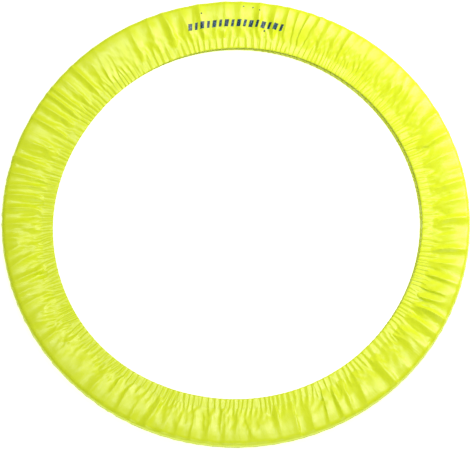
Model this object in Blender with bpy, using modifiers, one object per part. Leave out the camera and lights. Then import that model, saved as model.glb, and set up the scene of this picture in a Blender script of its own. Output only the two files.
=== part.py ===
"""A rhythmic gymnastics hoop in its elasticated fabric cover, lying flat.

Metres, +Z up. The origin is the centre of the ring, on the surface that the cover lies on.
The hoop is a bent plastic tube, plugged, pinned and taped at one joint, and it can slip round
inside its cover. The cover is a front and a back panel sewn together round the outside. The inner
edge of each panel is turned back as a hem that holds a flat elastic, and the two hems lie one on
the other with the mouth of the cover between them.
"""

import math

import bmesh
import bpy
from mathutils import Matrix

MM = 0.001

# The hoop
HOOP_INNER_DIAMETER = 850 * MM
TUBE_RADIUS = 9 * MM
TUBE_WALL = 2 * MM
TUBE_SIDES = 12
BUTT_GAP = 0.4 * MM
DOWEL_CLEARANCE = 0.3 * MM
PIN_RADIUS = 1.5 * MM
PIN_SIDES = 12
TAPE_THICKNESS = 0.4 * MM

# The cover
CLOTH = 1 * MM
HOOP_PLAY = 2.5 * MM
OPENING_RADIUS = 348 * MM
HEM_WIDTH = 22 * MM
HEM_HEIGHT = 7 * MM
HEM_CORNER = 2 * MM
HEM_SHOULDER = 4 * MM
HEM_TURN_END = 2 * MM
HEM_FOOT = 11 * MM
MOUTH_GAP = 0.6 * MM
ELASTIC_WIDTH = 13 * MM
ELASTIC_THICKNESS = 1.4 * MM
ELASTIC_PLAY = 1 * MM
THREAD = 0.4 * MM
SEAM_GAP = 1 * MM
BINDING_HEIGHT = 4 * MM
BINDING_THICKNESS = 0.6 * MM
PRINT_RADIUS = 402 * MM
PRINT_WIDTH = 16 * MM
PRINT_ANGLE = math.radians(27)
PRINT_THICKNESS = 0.3 * MM

# Shared
GAP = 0.3 * MM
STEPS = 60
BEND_STEPS = 4
PRINT_STEPS = 6

# Worked out from the sizes above
TURN = 2 * math.pi
HOOP_RADIUS = HOOP_INNER_DIAMETER / 2 + TUBE_RADIUS
BEND_RADIUS = TUBE_RADIUS + HOOP_PLAY + CLOTH
HOOP_HEIGHT = BEND_RADIUS
HALF_BUTT = BUTT_GAP / 2 / HOOP_RADIUS
JOINT_REACH = HALF_BUTT + (TURN - 2 * HALF_BUTT) / STEPS
STITCH_RADIUS = OPENING_RADIUS + HEM_WIDTH
HALF_NECK = CLOTH + GAP / 2
BACK_HEM_MIDDLE = HEM_HEIGHT / 2
FRONT_HEM_MIDDLE = BACK_HEM_MIDDLE + HEM_HEIGHT + MOUTH_GAP

CLOTH_COLOUR = (0.66, 0.87, 0.03, 1)
BINDING_COLOUR = (0.72, 0.86, 0.08, 1)
THREAD_COLOUR = (0.78, 0.93, 0.1, 1)
ELASTIC_COLOUR = (0.8, 0.8, 0.78, 1)
HOOP_COLOUR = (0.85, 0.85, 0.83, 1)
DOWEL_COLOUR = (0.25, 0.25, 0.26, 1)
TAPE_COLOUR = (0.8, 0.9, 0.1, 1)
PIN_COLOUR = (0.6, 0.6, 0.62, 1)
PRINT_COLOUR = (0.01, 0.06, 0.11, 1)


def new_collection(name):
    made = bpy.data.collections.new(name)
    bpy.context.scene.collection.children.link(made)
    return made


def new_material(name, colour, roughness, metallic=0.0):
    """A Principled BSDF with one colour."""
    made = bpy.data.materials.new(name)
    made.use_nodes = True
    shader = made.node_tree.nodes["Principled BSDF"]
    shader.inputs["Base Color"].default_value = colour
    shader.inputs["Roughness"].default_value = roughness
    shader.inputs["Metallic"].default_value = metallic
    return made


def new_object(name, shape, collection, finish=None):
    """An object made of the bmesh, in the collection, with its material."""
    mesh = bpy.data.meshes.new(name)
    shape.to_mesh(mesh)
    shape.free()
    if finish is not None:
        mesh.materials.append(finish)
    made = bpy.data.objects.new(name, mesh)
    collection.objects.link(made)
    return made


def arc(middle, radius, first, last, steps):
    """Points on an arc about (radius, height), at angles in degrees up from the outward direction."""
    angles = [math.radians(first + (last - first) * step / steps) for step in range(steps + 1)]
    return [(middle[0] + radius * math.cos(a), middle[1] + radius * math.sin(a)) for a in angles]


def rectangle(inner, outer, low, high):
    """A closed section that runs down its outer side."""
    return [(outer, high), (outer, low), (inner, low), (inner, high)]


def turned(name, profile, closed, collection, finish, angle=TURN, steps=STEPS):
    """A profile of (radius, height) points at +X, turned about +Z."""
    outline = bmesh.new()
    points = [outline.verts.new((radius, 0, height)) for radius, height in profile]
    for first, second in zip(points, points[1:]):
        outline.edges.new((first, second))
    if closed:
        outline.edges.new((points[-1], points[0]))
    made = new_object(name, outline, collection, finish)
    screw = made.modifiers.new("turn", "SCREW")
    screw.axis = "Z"
    screw.angle = angle
    screw.steps = steps
    screw.render_steps = steps
    screw.use_merge_vertices = True
    screw.merge_threshold = 0.01 * MM
    screw.use_smooth_shade = True
    return made


def thicken(made, thickness, offset):
    """Gives a surface its wall: inwards with offset -1, outwards with offset 1."""
    wall = made.modifiers.new("wall", "SOLIDIFY")
    wall.thickness = thickness
    wall.offset = offset
    wall.use_even_offset = True


def bent_rod(name, radius, reach_from, reach_to, steps, solid, collection, finish):
    """A round section swept along the hoop between two angles, as a solid rod or as an open skin."""
    rod = bmesh.new()
    bmesh.ops.create_circle(rod, cap_ends=solid, segments=TUBE_SIDES, radius=radius)
    upright = Matrix.Rotation(math.pi / 2, 4, "X")
    outwards = Matrix.Translation((HOOP_RADIUS, 0, 0))
    start = Matrix.Rotation(reach_from, 4, "Z")
    bmesh.ops.transform(rod, matrix=start @ outwards @ upright, verts=rod.verts)
    bmesh.ops.spin(
        rod,
        geom=rod.verts[:] + rod.edges[:] + rod.faces[:],
        axis=(0, 0, 1),
        angle=reach_to - reach_from,
        steps=steps,
    )
    bmesh.ops.recalc_face_normals(rod, faces=rod.faces)
    made = new_object(name, rod, collection, finish)
    made.data.shade_smooth()
    made.location.z = HOOP_HEIGHT
    return made


def upright_cylinder(name, radius, length, place, collection, finish=None):
    shape = bmesh.new()
    bmesh.ops.create_cone(
        shape, cap_ends=True, segments=PIN_SIDES, radius1=radius, radius2=radius, depth=length
    )
    made = new_object(name, shape, collection, finish)
    made.location = place
    return made


def drill(pieces, cutter):
    """Cuts the cutter out of each piece."""
    cutter.hide_render = True
    cutter.display_type = "WIRE"
    for piece in pieces:
        cut = piece.modifiers.new(cutter.name, "BOOLEAN")
        cut.operation = "DIFFERENCE"
        cut.object = cutter


def make_hoop(collection, cutters):
    """The bent tube, the dowel in its butt joint, the tape round the joint and the two pins."""
    plastic = new_material("hoop plastic", HOOP_COLOUR, 0.35)
    grey = new_material("dowel plastic", DOWEL_COLOUR, 0.55)
    film = new_material("joint tape", TAPE_COLOUR, 0.3)
    steel = new_material("pin steel", PIN_COLOUR, 0.3, 1)
    tube = bent_rod(
        "hoop_tube", TUBE_RADIUS, HALF_BUTT, TURN - HALF_BUTT, STEPS, False, collection, plastic
    )
    thicken(tube, TUBE_WALL, offset=-1)
    bore = TUBE_RADIUS - TUBE_WALL
    dowel = bent_rod(
        "joint_dowel", bore - DOWEL_CLEARANCE, -JOINT_REACH, JOINT_REACH, 2, True, collection, grey
    )
    tape = bent_rod(
        "joint_tape", TUBE_RADIUS + GAP, -JOINT_REACH, JOINT_REACH, 2, False, collection, film
    )
    thicken(tape, TAPE_THICKNESS, offset=1)
    for side, angle in (("left", JOINT_REACH / 2), ("right", -JOINT_REACH / 2)):
        place = (HOOP_RADIUS * math.cos(angle), HOOP_RADIUS * math.sin(angle), HOOP_HEIGHT)
        name = "joint_pin_" + side
        pin = upright_cylinder(name, PIN_RADIUS, 2 * (TUBE_RADIUS - GAP), place, collection, steel)
        pin.data.shade_smooth()
        hole = PIN_RADIUS + GAP
        drill((tube, dowel), upright_cylinder(name + "_hole", hole, 4 * TUBE_RADIUS, place, cutters))


def hem(middle):
    """The turned hem, from its stitch line in along the underside, up, and out along the top."""
    low = middle - HEM_HEIGHT / 2
    high = middle + HEM_HEIGHT / 2
    inner = OPENING_RADIUS + HEM_CORNER
    shoulder = STITCH_RADIUS - HEM_SHOULDER
    return (
        [(STITCH_RADIUS, middle - HALF_NECK), (shoulder, low)]
        + arc((inner, low + HEM_CORNER), HEM_CORNER, 270, 180, 1)
        + arc((inner, high - HEM_CORNER), HEM_CORNER, 180, 90, 1)
        + [(shoulder, high), (STITCH_RADIUS, middle + HALF_NECK)]
    )


def make_panels(collection):
    """The front and back panels, from their turned hems round the hoop to the outer seam."""
    cloth = new_material("cover cloth", CLOTH_COLOUR, 0.45)
    hoop_middle = (HOOP_RADIUS, HOOP_HEIGHT)
    half_seam = math.degrees(SEAM_GAP / 2 / BEND_RADIUS)
    turn_end = STITCH_RADIUS + HEM_TURN_END
    over_hoop = arc(hoop_middle, BEND_RADIUS, 90, half_seam, BEND_STEPS)
    front = [(turn_end, FRONT_HEM_MIDDLE - HALF_NECK)] + hem(FRONT_HEM_MIDDLE) + over_hoop
    thicken(turned("front_panel", front, False, collection, cloth), CLOTH, offset=-1)
    under_hoop = arc(hoop_middle, BEND_RADIUS, -half_seam, -90, BEND_STEPS)
    foot = (STITCH_RADIUS + HEM_FOOT, 0)
    back = under_hoop + [foot] + hem(BACK_HEM_MIDDLE) + [(turn_end, BACK_HEM_MIDDLE + HALF_NECK)]
    thicken(turned("back_panel", back, False, collection, cloth), CLOTH, offset=-1)


def make_hem_pieces(collection):
    """The elastic inside each hem, and the row of thread that closes it."""
    elastic = new_material("elastic", ELASTIC_COLOUR, 0.8)
    thread = new_material("thread", THREAD_COLOUR, 0.6)
    inner = OPENING_RADIUS + CLOTH + ELASTIC_PLAY
    half = ELASTIC_THICKNESS / 2
    stand_off = HALF_NECK + GAP + THREAD / 2
    for side, middle, away in (("front", FRONT_HEM_MIDDLE, 1), ("back", BACK_HEM_MIDDLE, -1)):
        band = rectangle(inner, inner + ELASTIC_WIDTH, middle - half, middle + half)
        turned(side + "_elastic", band, True, collection, elastic)
        row = middle + away * stand_off
        section = rectangle(
            STITCH_RADIUS, STITCH_RADIUS + THREAD, row - THREAD / 2, row + THREAD / 2
        )
        turned(side + "_hem_thread", section, True, collection, thread)


def make_outer_seam(collection):
    """The thread between the two panels' outer edges, and the binding over it inside the cover."""
    thread = new_material("seam thread", THREAD_COLOUR, 0.6)
    binding = new_material("seam binding", BINDING_COLOUR, 0.6)
    outer = HOOP_RADIUS + BEND_RADIUS - GAP
    row = rectangle(outer - THREAD, outer, HOOP_HEIGHT - THREAD / 2, HOOP_HEIGHT + THREAD / 2)
    turned("seam_thread", row, True, collection, thread)
    outer = HOOP_RADIUS + BEND_RADIUS - CLOTH - 2 * GAP
    half = BINDING_HEIGHT / 2
    strip = rectangle(outer - BINDING_THICKNESS, outer, HOOP_HEIGHT - half, HOOP_HEIGHT + half)
    turned("seam_binding", strip, True, collection, binding)


def make_print(collection):
    """The patch of transfer film on the sloping part of the front panel, centred on +Y."""
    film = new_material("transfer film", PRINT_COLOUR, 0.3)
    crest = HOOP_HEIGHT + BEND_RADIUS
    stitched = FRONT_HEM_MIDDLE + HALF_NECK
    rise = (crest - stitched) / (HOOP_RADIUS - STITCH_RADIUS)
    patch = [
        (radius, stitched + rise * (radius - STITCH_RADIUS) + GAP)
        for radius in (PRINT_RADIUS - PRINT_WIDTH / 2, PRINT_RADIUS + PRINT_WIDTH / 2)
    ]
    made = turned("printed_band", patch, False, collection, film, PRINT_ANGLE, PRINT_STEPS)
    thicken(made, PRINT_THICKNESS, offset=1)
    made.rotation_euler.z = math.pi / 2 - PRINT_ANGLE / 2


def main():
    for old in list(bpy.data.objects):
        bpy.data.objects.remove(old)
    collection = new_collection("rhythmic hoop in cover")
    make_hoop(collection, new_collection("cutters"))
    make_panels(collection)
    make_hem_pieces(collection)
    make_outer_seam(collection)
    make_print(collection)


main()
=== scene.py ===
import math

import bpy
import numpy as np
from mathutils import Matrix, Vector


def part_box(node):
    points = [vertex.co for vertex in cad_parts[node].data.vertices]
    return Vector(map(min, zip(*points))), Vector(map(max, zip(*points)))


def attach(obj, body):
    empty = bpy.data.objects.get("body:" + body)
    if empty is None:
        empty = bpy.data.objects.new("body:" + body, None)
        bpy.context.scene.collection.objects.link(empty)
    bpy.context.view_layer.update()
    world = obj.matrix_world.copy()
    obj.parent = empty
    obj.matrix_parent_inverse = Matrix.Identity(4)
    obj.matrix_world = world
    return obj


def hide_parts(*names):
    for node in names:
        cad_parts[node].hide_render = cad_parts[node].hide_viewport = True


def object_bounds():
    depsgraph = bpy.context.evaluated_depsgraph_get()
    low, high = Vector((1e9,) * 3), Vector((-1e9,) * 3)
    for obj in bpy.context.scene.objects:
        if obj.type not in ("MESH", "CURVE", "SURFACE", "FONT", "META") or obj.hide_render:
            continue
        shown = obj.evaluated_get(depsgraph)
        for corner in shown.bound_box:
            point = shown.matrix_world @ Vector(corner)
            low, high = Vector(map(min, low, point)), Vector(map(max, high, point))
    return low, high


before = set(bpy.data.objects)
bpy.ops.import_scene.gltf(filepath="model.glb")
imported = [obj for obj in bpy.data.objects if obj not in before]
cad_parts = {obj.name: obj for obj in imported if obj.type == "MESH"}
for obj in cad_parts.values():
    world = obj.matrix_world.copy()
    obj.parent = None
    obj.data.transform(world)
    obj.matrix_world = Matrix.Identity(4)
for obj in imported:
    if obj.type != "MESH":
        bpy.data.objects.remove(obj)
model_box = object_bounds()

MM = 0.001

# ---------------------------------------------------------------------------------------------
# Studio. The covered hoop lies on a white floor and is seen from steeply above through a long
# lens. One soft light stands at the far right, one hangs overhead on the far side, and a weaker
# one stands in front.
# ---------------------------------------------------------------------------------------------
middle = (model_box[0] + model_box[1]) / 2
ring_width = model_box[1].x - model_box[0].x

VIEW_ELEVATION = math.radians(71.9)
LENS_MM = 400
SENSOR_MM = 36
PICTURE_SHARE = 468.2 / 471
AIM_LEFT = 0.6 * MM
AIM_NEARER = 6.1 * MM
camera_away = ring_width / PICTURE_SHARE * LENS_MM / SENSOR_MM
bpy.ops.object.camera_add(
    location=(
        middle.x - AIM_LEFT,
        middle.y - AIM_NEARER - camera_away * math.cos(VIEW_ELEVATION),
        middle.z + camera_away * math.sin(VIEW_ELEVATION),
    ),
    rotation=(math.pi / 2 - VIEW_ELEVATION, 0, 0),
)
camera = bpy.context.object
camera.name = "studio_camera"
camera.data.lens = LENS_MM
camera.data.sensor_width = SENSOR_MM
camera.data.clip_end = 100
bpy.context.scene.camera = camera
bpy.context.scene.view_settings.view_transform = "Standard"

world = bpy.data.worlds.new("studio_air")
world.use_nodes = True
world.node_tree.nodes["Background"].inputs["Color"].default_value = (1, 0.99, 0.88, 1)
world.node_tree.nodes["Background"].inputs["Strength"].default_value = 0.28
bpy.context.scene.world = world


def soft_light(name, place, size, power, colour):
    """A square soft light that faces the middle of the ring."""
    bpy.ops.object.light_add(type="AREA", location=place)
    light = bpy.context.object
    light.name = name
    light.data.size = size
    light.data.energy = power
    light.data.color = colour
    facing = middle - Vector(place)
    light.rotation_euler = facing.to_track_quat("-Z", "Y").to_euler()


soft_light("key_softbox", (0.8, 0.48, 0.9), 0.6, 9.4, (1, 0.87, 0.95))
soft_light("overhead_softbox", (0.05, 0.55, 1.72), 0.7, 10.9, (1, 0.98, 1))
soft_light("front_softbox", (-0.1, -1.5, 0.95), 0.8, 5.5, (1, 1, 0.9))

bpy.ops.mesh.primitive_plane_add(size=30)
floor = bpy.context.object
floor.name = "studio_floor"
floor_paint = bpy.data.materials.new("floor paint")
floor_paint.use_nodes = True
floor_shader = floor_paint.node_tree.nodes["Principled BSDF"]
floor_shader.inputs["Base Color"].default_value = (0.93, 0.93, 0.93, 1)
floor_shader.inputs["Roughness"].default_value = 0.9
floor_shader.inputs["Specular IOR Level"].default_value = 0.1
floor_shader.inputs["Emission Color"].default_value = (1, 1, 1, 1)
floor_shader.inputs["Emission Strength"].default_value = 0.7
floor.data.materials.append(floor_paint)

# ---------------------------------------------------------------------------------------------
# Front panel. Two straight strips of thin fluorescent nylon, joined end to end into a ring. The
# outer edge is sewn to the back panel, a little puckered. The inner edge is turned back over a
# flat elastic, which gathers the whole strip into folds.
# ---------------------------------------------------------------------------------------------
# points round the ring, and about how many folds of each size there are in a turn
AROUND = 2500
BROAD_FOLDS = 50
BIG_FOLDS = 84
MEDIUM_FOLDS = 140
PLEATS = 216
RIBS = 420
# a fold's mean height as a share of its crest's, and how round the creases between folds are
MEAN_LEVEL = 0.55
CREASE_ROUNDING = 0.012
# the hoop's tube radius, middle radius and middle height, and the radii of the rim and stitches
tube_low, tube_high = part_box("hoop_tube")
thread_low, thread_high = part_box("front_hem_thread")
TUBE = (tube_high.z - tube_low.z) / 2
HOOP = tube_high.x - TUBE
HOOP_HEIGHT = (tube_high.z + tube_low.z) / 2
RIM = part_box("front_panel")[1].x
BEND = RIM - HOOP
STITCH = thread_high.x
STITCH_HEIGHT = thread_low.z - 0.3 * MM
LEAST_ROOM = TUBE + 1.8 * MM
# each panel's cloth before it is gathered: its length right round, its width and its thickness
CUT_LENGTH = 2.862
CLOTH_THICKNESS = 0.35 * MM
ABOVE_FLOOR = 0.02 * MM
TURN = np.arange(AROUND) / AROUND * 2 * math.pi


def ease(low, high, value):
    """Rises smoothly from 0 at low to 1 at high."""
    share = np.clip((value - low) / (high - low), 0, 1)
    return share * share * (3 - 2 * share)


def stretch(degrees, width):
    """1 at a place round the ring, falling to 0 over a width in degrees."""
    away = (np.degrees(TURN) - degrees + 180) % 360 - 180
    return np.exp(-((away / width) ** 2))


def waves(seed, swings, slip, inward):
    """Closed random waves round the ring, row by row, and the same waves a quarter swing on.
    slip is how many half swings a wave may slide sideways between the crest and the stitches."""
    chance = np.random.default_rng(seed)
    phases = chance.uniform(0, 2 * math.pi, len(swings))
    slides = chance.uniform(-slip, slip, len(swings)) * math.pi
    weights = math.sqrt(2 / len(swings)) * chance.uniform(0.6, 1.3, len(swings))
    turning = swings[:, None] * TURN + phases[:, None]
    across, beside = weights[:, None] * np.cos(turning), weights[:, None] * np.sin(turning)
    sliding = np.outer(inward, slides)
    here = np.cos(sliding) @ across - np.sin(sliding) @ beside
    quarter_on = np.cos(sliding) @ beside + np.sin(sliding) @ across
    return here, quarter_on


def ripple(seed, slowest, fastest):
    """One closed random wave round the ring, with that many swings in a turn."""
    return waves(seed, np.arange(slowest, fastest + 1), 0, np.zeros(1))[0][0]


def folds(seed, count, spread, slip, inward):
    """Folds round the ring, near 0 in each crease and 1 on each crest. There are about count of
    them, and they merge and part on their way from the hoop to the hem. Weak ones stay low."""
    weak = 0.35
    swings = np.arange(count // 2 - spread, count // 2 + spread + 1)
    here, quarter_on = waves(seed, swings, slip, inward)
    level = here / (np.hypot(here, quarter_on) + weak)
    return np.sqrt(level**2 + CREASE_ROUNDING)


def profile_normals(profile):
    """The outward direction at each row, square to the panel's outline."""
    along = np.gradient(profile, axis=0)
    along /= np.linalg.norm(along, axis=1)[:, None]
    return np.stack([-along[:, 1], along[:, 0]], axis=1)


def gathered_panel(profile, inward, seed, fullness, slant, crumple, puff):
    """Points of a gathered panel: rows from its outer seam to the end of its turned hem.
    inward is 0 at the hoop's crest and 1 at the stitch line. The rest varies round the ring:
    fullness is how high the big folds stand and slant how far they lean, crumple is the strength
    of the small creases, and puff the height of broad soft swellings."""
    normals = profile_normals(profile)
    big = folds(seed + 1, BIG_FOLDS, 17, 0.3, inward)
    medium = folds(seed + 2, MEDIUM_FOLDS, 26, 1.0, inward)
    pleats = folds(seed + 3, PLEATS, 42, 1.0, inward)
    ribs = folds(seed + 8, RIBS, 50, 0.6, inward)
    broad = folds(seed + 9, BROAD_FOLDS, 12, 0.5, inward)
    creases = waves(seed + 4, np.arange(40, 190), 7, inward)[0]
    patches = waves(seed + 5, np.arange(5, 60), 1.5, inward)[0]
    lean = 0.55 * ripple(seed + 6, 3, 26)
    crowd = 0.03 * ripple(seed + 7, 1, 5)
    seam_pucker = 0.4 * MM * ripple(91, 70, 170)
    rib_height = 0.6 * MM
    crease_height = 0.4 * MM * crumple
    points = np.empty((len(profile), AROUND, 3))
    for row, (radius, height) in enumerate(profile):
        depth = inward[row]
        spare = max(CUT_LENGTH / (2 * math.pi * radius) - 1, 0)
        fine_share = ease(0.7, 1.0, depth)
        medium_share = 0.25 * ease(0.1, 0.7, depth) * (1 - fine_share)
        big_share = 1 - fine_share - medium_share
        onset = ease(-0.33, -0.15, depth)
        pinch = 1 - 0.1 * math.exp(-(((depth - 1) / 0.035) ** 2))
        uneven = np.clip(1 + 0.3 * patches[row], 0.25, 1.7)

        def raised(field, count, share):
            return 4 * math.sqrt(spare * share) * radius / count * (field[row] - MEAN_LEVEL)

        lift = raised(big, BIG_FOLDS, big_share) * uneven * fullness
        lift = lift + raised(medium, MEDIUM_FOLDS, medium_share) * uneven
        lift = lift + raised(pleats, PLEATS, fine_share) * (0.9 if depth < 1 else 0.7)
        lift = lift + rib_height * (ribs[row] - MEAN_LEVEL) * ease(0.96, 1.1, depth)
        creased = crease_height * creases[row] * ease(0, 0.8, depth)
        swollen = puff * (broad[row] - MEAN_LEVEL) * ease(-0.33, -0.1, depth)
        lift = (lift + (creased + swollen) * (1 - fine_share)) * onset * pinch
        lift = np.interp(TURN + crowd + slant * depth, TURN, lift, period=2 * math.pi)
        angle = TURN + lean * lift / radius
        sideways = 0.3 if depth > 1 else 0.4
        ring_radius = radius + sideways * normals[row, 0] * lift + seam_pucker * (1 - onset)
        points[row, :, 0] = ring_radius * np.cos(angle)
        points[row, :, 1] = ring_radius * np.sin(angle)
        points[row, :, 2] = height + normals[row, 1] * lift
    return points


def clear_of_hoop(points, least):
    """Pushes the cloth out where a fold would come closer than least to the hoop's middle line."""
    radius = np.hypot(points[..., 0], points[..., 1])
    out = radius - HOOP
    up = points[..., 2] - HOOP_HEIGHT
    away = np.hypot(out, up)
    push = np.where(away < least, least / np.maximum(away, 1e-6), 1)
    scale = (HOOP + out * push) / radius
    points[..., 0] *= scale
    points[..., 1] *= scale
    points[..., 2] = HOOP_HEIGHT + up * push


def move_mouth(points, inward, shift):
    """Moves the hem in or out by shift round the ring, and eases that out towards the hoop."""
    for row, depth in enumerate(inward):
        share = ease(0.1, 1.0, depth)
        scale = 1 + share * shift / np.hypot(points[row, :, 0], points[row, :, 1])
        points[row, :, 0] *= scale
        points[row, :, 1] *= scale


def cloth_normals(points):
    """The outward direction at every point of a panel."""
    around = np.roll(points, -1, axis=1) - np.roll(points, 1, axis=1)
    normals = np.cross(around, np.gradient(points, axis=0))
    return normals / np.linalg.norm(normals, axis=2)[..., None]


def strip_of_cloth(name, points, across, first, last, outside):
    """A strip of the panel from one join to the next, as a closed sheet with its own thickness.
    outside is 1 or -1 for the side that shows. Its UV map is its flat cut, in metres."""
    taken = np.arange(first, last + 1) % AROUND
    normals = outside * cloth_normals(points)[:, taken]
    skin = points[:, taken]
    rows, columns = skin.shape[:2]
    count = rows * columns
    number = np.arange(count).reshape(rows, columns)
    loop = np.stack([number[:-1, :-1], number[:-1, 1:], number[1:, 1:], number[1:, :-1]], axis=-1)
    loop = loop.reshape(-1, 4)[:, ::outside]
    edge = np.concatenate([number[0], number[1:, -1], number[-1, -2::-1], number[-2::-1, 0]])
    wall = np.stack([edge[1:], edge[:-1], edge[:-1] + count, edge[1:] + count], axis=-1)
    corners = np.concatenate([loop, loop[:, ::-1] + count, wall[:, ::outside]])
    places = np.concatenate([skin, skin - normals * CLOTH_THICKNESS]).reshape(-1, 3)
    places[:, 2] = np.maximum(places[:, 2], ABOVE_FLOOR)
    mesh = bpy.data.meshes.new(name)
    mesh.vertices.add(len(places))
    mesh.vertices.foreach_set("co", places.astype(np.float32).ravel())
    mesh.loops.add(corners.size)
    mesh.loops.foreach_set("vertex_index", corners.astype(np.int32).ravel())
    mesh.polygons.add(len(corners))
    mesh.polygons.foreach_set("loop_start", np.arange(0, corners.size, 4, dtype=np.int32))
    mesh.update(calc_edges=True)
    mesh.shade_smooth()
    cut = np.empty((corners.size, 2), np.float32)
    cut[:, 0] = (corners.ravel() % count % columns + first) * CUT_LENGTH / AROUND
    cut[:, 1] = across[corners.ravel() % count // columns]
    mesh.uv_layers.new(name="cut").data.foreach_set("uv", cut.ravel())
    mesh.normals_split_custom_set_from_vertices(
        np.concatenate([normals, -normals]).reshape(-1, 3).tolist()
    )
    piece = bpy.data.objects.new(name, mesh)
    bpy.context.scene.collection.objects.link(piece)
    return piece


def over_hoop(degrees, corner):
    """Points of the panel's outline on the bend round the hoop. corner is 2 for a round bend, and
    more where the slack cloth makes a corner."""
    angles = np.radians(degrees)
    across, up = np.cos(angles), np.sin(angles)
    slack = (abs(across) ** corner + abs(up) ** corner) ** (-1 / corner)
    return np.stack([HOOP + BEND * slack * across, HOOP_HEIGHT + BEND * slack * up], axis=1)


def distances(profile):
    """How far each row is from the outer seam, over the cloth."""
    steps = np.linalg.norm(np.diff(profile, axis=0), axis=1)
    return np.concatenate([[0], np.cumsum(steps)])


# the outline from the seam over the hoop, then the slope down to the stitches, then the hem
BEND_DEGREES = np.array([1.5, 8, 20, 34, 50, 66, 80, 90])
FRONT_CORNER = 4.2
SLOPE_ROWS = 17
SLOPE_SWELLING = 16 * MM
front_bend = over_hoop(BEND_DEGREES, FRONT_CORNER)
bend_inward = np.array([-0.3, -0.27, -0.22, -0.17, -0.12, -0.07, -0.03, 0.0])
slope_share = np.arange(1, SLOPE_ROWS + 1) / SLOPE_ROWS
crest = front_bend[-1]
stitch_point = np.array([STITCH, STITCH_HEIGHT])
front_slope = crest + slope_share[:, None] * (stitch_point - crest)
front_slope[:, 1] += SLOPE_SWELLING * slope_share * (1 - slope_share) ** 2
# the hem in mm from the stitches: in towards the mouth, round its turned edge and back beneath
HEM_TURN = 6
hem_outline = np.array(
    [
        (-2.0, -0.25), (-5.5, -0.6), (-10.0, -1.0), (-14.5, -1.4), (-18.0, -1.9), (-20.3, -2.6),
        (-20.9, -3.4), (-20.2, -4.2), (-18.0, -4.8), (-13, -4.9), (-7, -4.5), (-2, -3.2),
    ]
) * MM
hem_inward = 1 + np.arange(1, len(hem_outline) + 1) * 0.06
front_hem = stitch_point + hem_outline
front_profile = np.concatenate([front_bend, front_slope, front_hem])
front_inward = np.concatenate([bend_inward, slope_share, hem_inward])
# how the gathers differ round the ring: flatter where the elastic pulls, fuller where it's slack
front_fullness = np.clip(
    1 + 0.1 * stretch(150, 25) - 0.65 * stretch(48, 18) - 0.4 * stretch(222, 14)
    + 0.3 * stretch(320, 25) + 0.2 * stretch(0, 25) - 0.4 * stretch(270, 28)
    - 0.25 * stretch(135, 20) + 0.15 * stretch(185, 20),
    0.15, 2,
)
front_slant = 0.010 * ripple(31, 2, 16) + 0.03 * stretch(180, 12) - 0.03 * stretch(318, 18)
front_crumple = 0.8 + 0.4 * stretch(270, 35) + 0.5 * stretch(50, 25)
front_puff = MM * (0.5 + 2.8 * stretch(275, 42))
front_points = gathered_panel(
    front_profile, front_inward, 11, front_fullness, front_slant, front_crumple, front_puff
)
# the elastic mouth isn't quite round, and the front one lies askew of the back one
askew = np.cos(TURN - math.radians(30))
mouth_form = MM * (
    2 + 6 * stretch(222, 32) - 6.5 * stretch(145, 28) + 1.5 * stretch(75, 25)
    + 1.5 * stretch(0, 20) - 2 * stretch(315, 25)
)
front_mouth = mouth_form + 3.2 * MM * askew
move_mouth(front_points, front_inward, front_mouth)
clear_of_hoop(front_points, LEAST_ROOM)
HALF = AROUND // 2
front_far = strip_of_cloth(
    "front_cover_far", front_points, distances(front_profile), 0, HALF, 1
)
front_near = strip_of_cloth(
    "front_cover_near", front_points, distances(front_profile), HALF, AROUND, 1
)
for strip in (front_far, front_near):
    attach(strip, "cover")
    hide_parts("front_panel")

# the nylon of both panels: a fine plain weave, crinkled along the folds


def shade_group(name, inputs, outputs):
    """An empty group of shading nodes with its named sockets, and its two end nodes."""
    group = bpy.data.node_groups.new(name, "ShaderNodeTree")
    for label, kind, value in inputs:
        socket = group.interface.new_socket(label, in_out="INPUT", socket_type=kind)
        if value is not None:
            socket.default_value = value
    for label, kind in outputs:
        group.interface.new_socket(label, in_out="OUTPUT", socket_type=kind)
    return group, group.nodes.new("NodeGroupInput"), group.nodes.new("NodeGroupOutput")


def math_node(group, operation, first, second):
    """The result of one operation on two numbers or sockets."""
    node = group.nodes.new("ShaderNodeMath")
    node.operation = operation
    for socket, value in zip(node.inputs, (first, second)):
        if isinstance(value, (int, float)):
            socket.default_value = value
        else:
            group.links.new(value, socket)
    return node.outputs[0]


weave, weave_in, weave_out = shade_group(
    "plain weave",
    [("Cloth", "NodeSocketVector", None), ("Threads", "NodeSocketFloat", 2200.0)],
    [("Height", "NodeSocketFloat")],
)
weave_axes = weave.nodes.new("ShaderNodeSeparateXYZ")
weave.links.new(weave_in.outputs["Cloth"], weave_axes.inputs[0])
warp = math_node(weave, "MULTIPLY", weave_axes.outputs["X"], weave_in.outputs["Threads"])
weft = math_node(weave, "MULTIPLY", weave_axes.outputs["Y"], weave_in.outputs["Threads"])
warp = math_node(weave, "SINE", math_node(weave, "MULTIPLY", warp, math.pi), 0)
weft = math_node(weave, "SINE", math_node(weave, "MULTIPLY", weft, math.pi), 0)
over_under = math_node(weave, "MULTIPLY", warp, weft)
weave.links.new(math_node(weave, "MULTIPLY", over_under, 0.5), weave_out.inputs["Height"])

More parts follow.
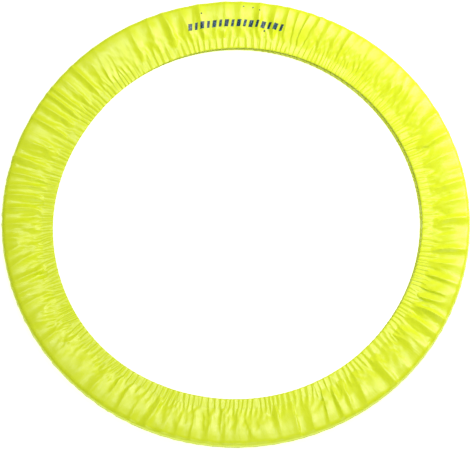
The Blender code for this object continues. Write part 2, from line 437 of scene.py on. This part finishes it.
crinkle, crinkle_in, crinkle_out = shade_group(
    "crinkled cloth",
    [("Cloth", "NodeSocketVector", None), ("Closeness", "NodeSocketVector", (320, 80, 1))],
    [("Height", "NodeSocketFloat"), ("Patches", "NodeSocketFloat")],
)
crinkle_size = crinkle.nodes.new("ShaderNodeVectorMath")
crinkle_size.operation = "MULTIPLY"
crinkle.links.new(crinkle_in.outputs["Cloth"], crinkle_size.inputs[0])
crinkle.links.new(crinkle_in.outputs["Closeness"], crinkle_size.inputs[1])
small_creases = crinkle.nodes.new("ShaderNodeTexNoise")
small_creases.inputs["Scale"].default_value = 1
small_creases.inputs["Detail"].default_value = 3
small_creases.inputs["Distortion"].default_value = 0.6
crinkle.links.new(crinkle_size.outputs[0], small_creases.inputs["Vector"])
dye_patches = crinkle.nodes.new("ShaderNodeTexNoise")
dye_patches.inputs["Scale"].default_value = 0.12
dye_patches.inputs["Detail"].default_value = 2
crinkle.links.new(crinkle_size.outputs[0], dye_patches.inputs["Vector"])
crinkle.links.new(small_creases.outputs["Fac"], crinkle_out.inputs["Height"])
crinkle.links.new(dye_patches.outputs["Fac"], crinkle_out.inputs["Patches"])


def placed(material, group, **values):
    """The group in a material, with its own values."""
    node = material.node_tree.nodes.new("ShaderNodeGroup")
    node.node_tree = group
    for label, value in values.items():
        node.inputs[label].default_value = value
    return node


def varied(material, mask, low, high, socket):
    """Sets a number that changes with a mask from low to high."""
    node = material.node_tree.nodes.new("ShaderNodeMapRange")
    node.inputs["From Min"].default_value = 0.3
    node.inputs["From Max"].default_value = 0.7
    node.inputs["To Min"].default_value = low
    node.inputs["To Max"].default_value = high
    material.node_tree.links.new(mask, node.inputs["Value"])
    material.node_tree.links.new(node.outputs["Result"], socket)


def coloured(material, mask, first, second, socket):
    """Sets a colour that changes with a mask from the first to the second."""
    node = material.node_tree.nodes.new("ShaderNodeMix")
    node.data_type = "RGBA"
    node.inputs["A"].default_value = (*first, 1)
    node.inputs["B"].default_value = (*second, 1)
    material.node_tree.links.new(mask, node.inputs["Factor"])
    material.node_tree.links.new(node.outputs["Result"], socket)


def bumped(material, heights, distance, strength, shader):
    """Adds up heights, each with its own share, and gives the shader their relief."""
    total = None
    for height, share in heights:
        part = math_node(material.node_tree, "MULTIPLY", height, share)
        total = part if total is None else math_node(material.node_tree, "ADD", total, part)
    relief = material.node_tree.nodes.new("ShaderNodeBump")
    relief.inputs["Distance"].default_value = distance
    relief.inputs["Strength"].default_value = strength
    material.node_tree.links.new(total, relief.inputs["Height"])
    material.node_tree.links.new(relief.outputs["Normal"], shader.inputs["Normal"])


nylon = bpy.data.materials.new("fluorescent nylon")
nylon.use_nodes = True
nylon_shader = nylon.node_tree.nodes["Principled BSDF"]
nylon_shader.inputs["Specular IOR Level"].default_value = 0.75
nylon_shader.inputs["Sheen Weight"].default_value = 0.12
nylon_shader.inputs["Sheen Roughness"].default_value = 0.4
# a faint yellow-green emission is a painted glow: it lifts the cloth's shaded folds as if lit
nylon_shader.inputs["Emission Color"].default_value = (0.55, 0.8, 0, 1)
nylon_shader.inputs["Emission Strength"].default_value = 0.1
cut_place = nylon.node_tree.nodes.new("ShaderNodeUVMap")
cut_place.uv_map = "cut"
nylon_weave = placed(nylon, weave, Threads=2200)
nylon_crinkle = placed(nylon, crinkle, Closeness=(300, 75, 1))
nylon.node_tree.links.new(cut_place.outputs["UV"], nylon_weave.inputs["Cloth"])
nylon.node_tree.links.new(cut_place.outputs["UV"], nylon_crinkle.inputs["Cloth"])
# past the turn of the hem and near the rim seam, where the cloth is doubled, its colour is
# darkened: painted shade on the mouth's inner wall and on the rim's outer wall. Random patches of
# deeper dye add to it.
TURN_OF_HEM = distances(front_profile)[len(front_bend) + SLOPE_ROWS + HEM_TURN]
cut_axes = nylon.node_tree.nodes.new("ShaderNodeSeparateXYZ")
nylon.node_tree.links.new(cut_place.outputs["UV"], cut_axes.inputs[0])
# painted shade on the hem's inner wall, from just before its turn
hem_painted_shade = nylon.node_tree.nodes.new("ShaderNodeMapRange")
hem_painted_shade.inputs["From Min"].default_value = TURN_OF_HEM - 2.5 * MM
hem_painted_shade.inputs["From Max"].default_value = TURN_OF_HEM + 0.5 * MM
nylon.node_tree.links.new(cut_axes.outputs["Y"], hem_painted_shade.inputs["Value"])
# painted shade on the rim's outer wall, fading out over 8 mm from the seam
seam_painted_shade = nylon.node_tree.nodes.new("ShaderNodeMapRange")
seam_painted_shade.inputs["From Min"].default_value = 8 * MM
seam_painted_shade.inputs["From Max"].default_value = 0
nylon.node_tree.links.new(cut_axes.outputs["Y"], seam_painted_shade.inputs["Value"])
dye_patches_and_painted_shade = math_node(nylon.node_tree, "MULTIPLY", nylon_crinkle.outputs["Patches"], 0.2)
dye_patches_and_painted_shade = math_node(nylon.node_tree, "MAXIMUM", dye_patches_and_painted_shade, seam_painted_shade.outputs["Result"])
dye_patches_and_painted_shade = math_node(nylon.node_tree, "MAXIMUM", dye_patches_and_painted_shade, hem_painted_shade.outputs["Result"])
# the darker colour carries random dye patches and the painted shade of the hem and rim
coloured(
    nylon, dye_patches_and_painted_shade, (0.72, 0.86, 0.004), (0.40, 0.48, 0.002),
    nylon_shader.inputs["Base Color"],
)
varied(nylon, nylon_crinkle.outputs["Patches"], 0.40, 0.33, nylon_shader.inputs["Roughness"])
bumped(
    nylon, [(nylon_crinkle.outputs["Height"], 1), (nylon_weave.outputs["Height"], 0.06)],
    1.2 * MM, 0.35, nylon_shader,
)
for strip in (front_far, front_near):
    strip.data.materials.append(nylon)

# ---------------------------------------------------------------------------------------------
# Back panel. The same two strips of nylon for the underside, gathered by their own elastic. The
# cover's weight flattens their folds on the floor, and their hem shows in the mouth in painted
# shade.
# ---------------------------------------------------------------------------------------------
BACK_CORNER = 2.2
LEAST_HEIGHT = 0.15 * MM
back_bend = over_hoop(-BEND_DEGREES, BACK_CORNER)
back_stitch = np.array([STITCH, 2.4 * MM])
lying = back_bend[-1] + np.array([0, 1.2 * MM])
back_slope = lying + slope_share[:, None] * (back_stitch - lying)
back_hem = back_stitch + hem_outline * np.array([1, -0.78])
back_bend[-1, 1] += 0.6 * MM
back_profile = np.concatenate([back_bend, back_slope, back_hem])
back_profile[:, 1] = np.maximum(back_profile[:, 1], LEAST_HEIGHT)
back_fullness = np.clip(0.85 + 0.25 * ripple(57, 1, 12), 0.2, 1.4)
back_slant = 0.03 * ripple(58, 2, 16)
back_points = gathered_panel(
    back_profile * np.array([1, -1]), front_inward, 71, back_fullness, back_slant, 0.5, 0
)
back_points[..., 2] *= -1
back_mouth = mouth_form - 2.2 * MM * askew
move_mouth(back_points, front_inward, back_mouth)
clear_of_hoop(back_points, LEAST_ROOM)
back_points[..., 2] = np.maximum(back_points[..., 2], LEAST_HEIGHT)
back_far = strip_of_cloth(
    "back_cover_far", back_points, distances(back_profile), 0, HALF, -1
)
back_near = strip_of_cloth(
    "back_cover_near", back_points, distances(back_profile), HALF, AROUND, -1
)
for strip in (back_far, back_near):
    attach(strip, "cover")
    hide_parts("back_panel")

# the back hem lies in the mouth under the front one, and a copy of the nylon paints the shade it
# lies in there: the darkened band reaches further out from the turn
back_nylon_with_painted_shade = nylon.copy()
back_nylon_with_painted_shade.name = "fluorescent nylon of the back with painted shade"
# painted shade on the back cloth from 10 mm to 3 mm short of the turn, where the front hem shades
# it
back_hem_painted_shade = back_nylon_with_painted_shade.node_tree.nodes[hem_painted_shade.name]
back_hem_painted_shade.inputs["From Min"].default_value = TURN_OF_HEM - 10 * MM
back_hem_painted_shade.inputs["From Max"].default_value = TURN_OF_HEM - 3 * MM
for strip in (back_far, back_near):
    strip.data.materials.append(back_nylon_with_painted_shade)

# ---------------------------------------------------------------------------------------------
# Mouth elastics. A flat woven elastic runs inside each hem and sits against the turned edge. It
# is loose in its channel and pulls the mouth together.
# ---------------------------------------------------------------------------------------------
ELASTIC_THINNED = 0.35
FURTHER_OUT = 2 * MM


def only(piece):
    """Selects one piece and makes it the active one."""
    bpy.ops.object.select_all(action="DESELECT")
    piece.select_set(True)
    bpy.context.view_layer.objects.active = piece


def elastic_in_hem(name, node, mouth, rise):
    """A merged copy of the plain elastic, moved and thinned to stay inside its own hem."""
    low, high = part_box(node)
    centre = (low.z + high.z) / 2
    piece = bpy.data.objects.new(name, bpy.data.objects[node].data.copy())
    bpy.context.scene.collection.objects.link(piece)
    only(piece)
    bpy.ops.object.mode_set(mode="EDIT")
    bpy.ops.mesh.select_all(action="SELECT")
    bpy.ops.mesh.remove_doubles(threshold=0.00001)
    bpy.ops.object.mode_set(mode="OBJECT")
    for point in piece.data.vertices:
        out = np.interp(math.atan2(point.co.y, point.co.x), TURN, mouth, period=2 * math.pi)
        scale = 1 + (out + FURTHER_OUT) / math.hypot(point.co.x, point.co.y)
        point.co.x *= scale
        point.co.y *= scale
        point.co.z = centre + rise + (point.co.z - centre) * ELASTIC_THINNED
    piece.data.materials.clear()
    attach(piece, "cover")
    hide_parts(node)
    return piece


front_band = elastic_in_hem("front_mouth_elastic", "front_elastic", front_mouth, -2.38 * MM)
back_band = elastic_in_hem("back_mouth_elastic", "back_elastic", back_mouth, 1.45 * MM)

ring_place, ring_in, ring_out = shade_group(
    "place round the ring", [("Object", "NodeSocketVector", None)], [("Cloth", "NodeSocketVector")]
)
ring_axes = ring_place.nodes.new("ShaderNodeSeparateXYZ")
ring_place.links.new(ring_in.outputs["Object"], ring_axes.inputs[0])
ring_angle = math_node(ring_place, "ARCTAN2", ring_axes.outputs["Y"], ring_axes.outputs["X"])
ring_length = ring_place.nodes.new("ShaderNodeVectorMath")
ring_length.operation = "LENGTH"
ring_place.links.new(ring_in.outputs["Object"], ring_length.inputs[0])
ring_cloth = ring_place.nodes.new("ShaderNodeCombineXYZ")
ring_run = math_node(ring_place, "MULTIPLY", ring_angle, 0.4)
ring_place.links.new(ring_run, ring_cloth.inputs["X"])
ring_place.links.new(ring_length.outputs["Value"], ring_cloth.inputs["Y"])
ring_place.links.new(ring_axes.outputs["Z"], ring_cloth.inputs["Z"])
ring_place.links.new(ring_cloth.outputs[0], ring_out.inputs["Cloth"])


def narrow_cloth(name, first, second, roughness, threads):
    """A woven tape: its threads run round the ring and across it."""
    material = bpy.data.materials.new(name)
    material.use_nodes = True
    shader = material.node_tree.nodes["Principled BSDF"]
    place = material.node_tree.nodes.new("ShaderNodeTexCoord")
    round_ring = placed(material, ring_place)
    thread_weave = placed(material, weave, Threads=threads)
    thread_crinkle = placed(material, crinkle, Closeness=(200, 200, 200))
    material.node_tree.links.new(place.outputs["Object"], round_ring.inputs["Object"])
    for node in (thread_weave, thread_crinkle):
        material.node_tree.links.new(round_ring.outputs["Cloth"], node.inputs["Cloth"])
    mask = thread_crinkle.outputs["Height"]
    coloured(material, mask, first, second, shader.inputs["Base Color"])
    varied(material, mask, roughness, roughness + 0.12, shader.inputs["Roughness"])
    bumped(material, [(thread_weave.outputs["Height"], 1)], 0.2 * MM, 0.6, shader)
    return material


elastic_weave = narrow_cloth("woven elastic", (0.76, 0.76, 0.73), (0.84, 0.84, 0.82), 0.65, 1100)
front_band.data.materials.append(elastic_weave)
back_band.data.materials.append(elastic_weave)

# ---------------------------------------------------------------------------------------------
# Stitching. One row of yellow polyester stitches closes each hem along its edge, and an
# overedge row joins the two panels round the rim. The thread lies on the folded cloth.
# ---------------------------------------------------------------------------------------------
THREAD = 0.24 * MM
STITCH_ROW = len(front_bend) + SLOPE_ROWS - 1
STITCH_PITCH = 4 * MM
STITCH_LENGTH = 2.8 * MM
STITCH_RISE = 0.25 * MM
RIM_PITCH = 3.5 * MM
RIM_STITCH_LENGTH = 3 * MM
RIM_STITCH_RISE = 0.3 * MM
RIM_SLANT = 1.6


def one_stitch(name, length, rise):
    """A short arch of thread that runs along X, with both ends turned down into the cloth."""
    bpy.ops.object.select_all(action="DESELECT")
    bpy.ops.mesh.primitive_circle_add(vertices=6, radius=THREAD, fill_type="NGON")
    stitch = bpy.context.object
    stitch.name = name
    bpy.ops.object.mode_set(mode="EDIT")
    bpy.ops.mesh.select_all(action="SELECT")
    bpy.ops.transform.rotate(value=math.pi / 2, orient_axis="Y", center_override=(0, 0, 0))
    bpy.ops.transform.translate(value=(-length / 2, 0, -0.5 * rise))
    for share, lift in ((0.18, 0.9), (0.32, 0.45), (0.32, -0.45), (0.18, -0.9)):
        bpy.ops.mesh.extrude_region_move(
            TRANSFORM_OT_translate={"value": (share * length, 0, lift * rise)}
        )
    bpy.ops.mesh.select_all(action="SELECT")
    bpy.ops.mesh.normals_make_consistent(inside=False)
    bpy.ops.object.mode_set(mode="OBJECT")
    bpy.ops.object.shade_smooth()
    return stitch


def sewn_row(name, stitch, places, alongs, outs, node):
    """Copies of one stitch, each at its place and lying along the cloth, joined into one row."""
    copies = []
    for place, along, out in zip(places, alongs, outs):
        along = Vector(along).normalized()
        beside = Vector(out).cross(along).normalized()
        axes = Matrix((along, beside, along.cross(beside))).transposed().to_4x4()
        mesh = stitch.data.copy()
        mesh.transform(Matrix.Translation(place) @ axes)
        copy = bpy.data.objects.new(name, mesh)
        bpy.context.scene.collection.objects.link(copy)
        copies.append(copy)
    bpy.ops.object.select_all(action="DESELECT")
    for copy in copies:
        copy.select_set(True)
    bpy.context.view_layer.objects.active = copies[0]
    bpy.ops.object.join()
    row = bpy.context.object
    row.name = name
    bpy.data.objects.remove(stitch)
    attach(row, "cover")
    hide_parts(node)
    return row


def along_row(points, normals, pitch, stitch_length):
    """Even places along one row of the cloth, with the direction of the cloth at each."""
    closed = np.concatenate([points, points[:1]])
    run = np.concatenate([[0], np.cumsum(np.linalg.norm(np.diff(closed, axis=0), axis=1))])
    starts = np.arange(int(run[-1] / pitch)) * pitch

    def point_at(distance):
        return np.stack([np.interp(distance, run, closed[:, axis]) for axis in range(3)], axis=1)

    begin, end = point_at(starts), point_at(starts + stitch_length)
    nearest = np.searchsorted(run, starts + stitch_length / 2) % len(points)
    return (begin + end) / 2, end - begin, normals[nearest]


front_out = cloth_normals(front_points)[STITCH_ROW]
places, alongs, outs = along_row(
    front_points[STITCH_ROW], front_out, STITCH_PITCH, STITCH_LENGTH
)
front_stitching = sewn_row(
    "front_hem_stitching", one_stitch("front_hem_stitch", STITCH_LENGTH, STITCH_RISE),
    places, alongs, outs, "front_hem_thread",
)
# the stitches beneath press up into the cloth, clear of the floor
STITCH_OFF_FLOOR = 0.75 * MM
back_out = -cloth_normals(back_points)[STITCH_ROW]
places, alongs, outs = along_row(back_points[STITCH_ROW], back_out, STITCH_PITCH, STITCH_LENGTH)
places[:, 2] = np.maximum(places[:, 2], STITCH_OFF_FLOOR)
back_stitching = sewn_row(
    "back_hem_stitching", one_stitch("back_hem_stitch", STITCH_LENGTH, STITCH_RISE),
    places, alongs, outs, "back_hem_thread",
)
rim_turns = np.arange(0, 2 * math.pi, RIM_PITCH / RIM)
round_rim = np.stack([np.cos(rim_turns), np.sin(rim_turns), 0 * rim_turns], axis=1)
rim_height = np.array([0, 0, HOOP_HEIGHT])
seam_radius = np.hypot(front_points[0, :, 0], front_points[0, :, 1]) + 0.05 * MM
seam_radius = np.interp(rim_turns, TURN, seam_radius, period=2 * math.pi)
beside_rim = np.stack([-np.sin(rim_turns), np.cos(rim_turns), 0 * rim_turns + RIM_SLANT], axis=1)
rim_stitching = sewn_row(
    "rim_stitching", one_stitch("rim_stitch", RIM_STITCH_LENGTH, RIM_STITCH_RISE),
    round_rim * seam_radius[:, None] + rim_height, beside_rim, round_rim, "seam_thread",
)

thread = bpy.data.materials.new("polyester thread")
thread.use_nodes = True
thread_shader = thread.node_tree.nodes["Principled BSDF"]
thread_shader.inputs["Sheen Weight"].default_value = 0.2
thread_place = thread.node_tree.nodes.new("ShaderNodeTexCoord")
thread_twist = placed(thread, crinkle, Closeness=(2600, 2600, 2600))
thread.node_tree.links.new(thread_place.outputs["Object"], thread_twist.inputs["Cloth"])
coloured(
    thread, thread_twist.outputs["Height"], (0.66, 0.80, 0.02), (0.84, 0.95, 0.14),
    thread_shader.inputs["Base Color"],
)
varied(thread, thread_twist.outputs["Height"], 0.4, 0.6, thread_shader.inputs["Roughness"])
bumped(thread, [(thread_twist.outputs["Height"], 1)], 0.1 * MM, 0.5, thread_shader)
for row in (front_stitching, back_stitching, rim_stitching):
    row.data.materials.append(thread)

# ---------------------------------------------------------------------------------------------
# Printed motif. A plain row of slanted bars in dark teal film with a few dots round it, pressed
# on the front panel near the top. The film is cut flat, laid over the panel and follows its folds.
# ---------------------------------------------------------------------------------------------
PRINT_RADIUS = 402 * MM
PRINT_HEIGHT = 13 * MM
OVER_PANEL = 60 * MM
FILM_THICKNESS = 0.08 * MM
FILM_RISE = 0.14 * MM
BAR_SLANT = 0.22
BAR_COUNT = 16
BAR_WIDTHS = (7.6 * MM, 5.2 * MM)
BAR_STEP = 11.8 * MM
# each dot's place round the ring in degrees, its radius from the middle and its size, both in mm
DOTS = ((99, 424, 1.5), (88, 434, 1.3), (85.6, 433, 1.3), (83.8, 428, 1.3), (81.9, 391, 1.6))


def bar(place_along, width):
    """One slanted bar of film, flat over the panel, at its place along the arc."""
    bpy.ops.object.select_all(action="DESELECT")
    bpy.ops.mesh.primitive_grid_add(x_subdivisions=10, y_subdivisions=14, size=1)
    film = bpy.context.object
    for point in film.data.vertices:
        up = point.co.y * PRINT_HEIGHT
        side = place_along + point.co.x * width + up * BAR_SLANT
        turn = math.pi / 2 - side / PRINT_RADIUS
        radius = PRINT_RADIUS + up
        point.co = (radius * math.cos(turn), radius * math.sin(turn), OVER_PANEL)
    return film


def dot(degrees, radius, size):
    """One round dot of film, flat over the panel."""
    bpy.ops.object.select_all(action="DESELECT")
    bpy.ops.mesh.primitive_circle_add(vertices=14, radius=size, fill_type="TRIFAN")
    film = bpy.context.object
    turn = math.radians(degrees)
    film.data.transform(
        Matrix.Translation((radius * math.cos(turn), radius * math.sin(turn), OVER_PANEL))
    )
    return film


def apply_modifiers(piece):
    """Applies a piece's modifiers in turn."""
    only(piece)
    for modifier in list(piece.modifiers):
        bpy.ops.object.modifier_apply(modifier=modifier.name)


films = [
    bar((number - (BAR_COUNT - 1) / 2) * BAR_STEP, BAR_WIDTHS[number % 2])
    for number in range(BAR_COUNT)
]
films += [dot(degrees, radius * MM, size * MM) for degrees, radius, size in DOTS]
bpy.ops.object.select_all(action="DESELECT")
for film in films:
    film.select_set(True)
bpy.context.view_layer.objects.active = films[0]
bpy.ops.object.join()
motif = bpy.context.object
motif.name = "printed_motif"
pressed = motif.modifiers.new("pressed on", "SHRINKWRAP")
pressed.target = front_far
pressed.wrap_method = "PROJECT"
pressed.use_project_z = True
pressed.use_negative_direction = True
pressed.use_positive_direction = False
pressed.offset = FILM_RISE
film_wall = motif.modifiers.new("film", "SOLIDIFY")
film_wall.thickness = FILM_THICKNESS
film_wall.offset = 0
apply_modifiers(motif)
bpy.ops.object.shade_smooth()
motif.data.materials.clear()
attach(motif, "cover")
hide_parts("printed_band")

film_ink = bpy.data.materials.new("teal transfer film")
film_ink.use_nodes = True
film_shader = film_ink.node_tree.nodes["Principled BSDF"]
film_place = film_ink.node_tree.nodes.new("ShaderNodeTexCoord")
film_glints = placed(film_ink, crinkle, Closeness=(420, 420, 420))
film_ink.node_tree.links.new(film_place.outputs["Object"], film_glints.inputs["Cloth"])
glint_edge = film_ink.node_tree.nodes.new("ShaderNodeMapRange")
glint_edge.inputs["From Min"].default_value = 0.56
glint_edge.inputs["From Max"].default_value = 0.66
film_ink.node_tree.links.new(film_glints.outputs["Height"], glint_edge.inputs["Value"])
coloured(
    film_ink, glint_edge.outputs["Result"], (0.008, 0.045, 0.075), (0.12, 0.36, 0.5),
    film_shader.inputs["Base Color"],
)
varied(film_ink, film_glints.outputs["Height"], 0.25, 0.4, film_shader.inputs["Roughness"])
motif.data.materials.append(film_ink)

# ---------------------------------------------------------------------------------------------
# Rim binding. A narrow yellow woven tape is folded over the raw edges of the rim seam and sewn
# down with it. It lies inside the cover, between the cloth and the hoop.
# ---------------------------------------------------------------------------------------------
binding_tape = narrow_cloth(
    "yellow binding tape", (0.68, 0.82, 0.04), (0.76, 0.9, 0.12), 0.6, 1600
)
bpy.data.objects["seam_binding"].material_slots[0].material = binding_tape

# ---------------------------------------------------------------------------------------------
# Hoop. A white plastic tube bent to a ring, with one butt joint. A grey plug fills the joint,
# two steel pins hold it, and a turn of glossy yellow film tape covers it.
# ---------------------------------------------------------------------------------------------
def finish_in(node, name, first, second, roughness, closeness, relief, metallic=0):
    """A plain material whose colour, gloss and surface vary a little, as drawn plastic does, put
    on a part of the hoop. closeness is how many of its marks fit in a metre."""
    material = bpy.data.materials.new(name)
    material.use_nodes = True
    shader = material.node_tree.nodes["Principled BSDF"]
    shader.inputs["Metallic"].default_value = metallic
    place = material.node_tree.nodes.new("ShaderNodeTexCoord")
    grain = placed(material, crinkle, Closeness=(closeness, closeness, closeness))
    height = grain.outputs["Height"]
    material.node_tree.links.new(place.outputs["Object"], grain.inputs["Cloth"])
    coloured(material, grain.outputs["Patches"], first, second, shader.inputs["Base Color"])
    varied(material, height, roughness, roughness + 0.1, shader.inputs["Roughness"])
    bumped(material, [(height, 1)], relief, 0.3, shader)
    bpy.data.objects[node].material_slots[0].material = material


finish_in(
    "hoop_tube", "drawn white tube",
    (0.84, 0.84, 0.82), (0.87, 0.87, 0.86), 0.22, 400, 0.04 * MM,
)
finish_in(
    "joint_dowel", "grey moulding",
    (0.22, 0.22, 0.23), (0.28, 0.28, 0.29), 0.5, 900, 0.1 * MM,
)
finish_in(
    "joint_tape", "yellow film tape",
    (0.76, 0.88, 0.06), (0.83, 0.93, 0.14), 0.2, 260, 0.1 * MM,
)
for side in ("left", "right"):
    finish_in(
        "joint_pin_" + side, side + " pin steel",
        (0.57, 0.57, 0.59), (0.63, 0.63, 0.65), 0.3, 2000, 0.03 * MM, metallic=1,
    )
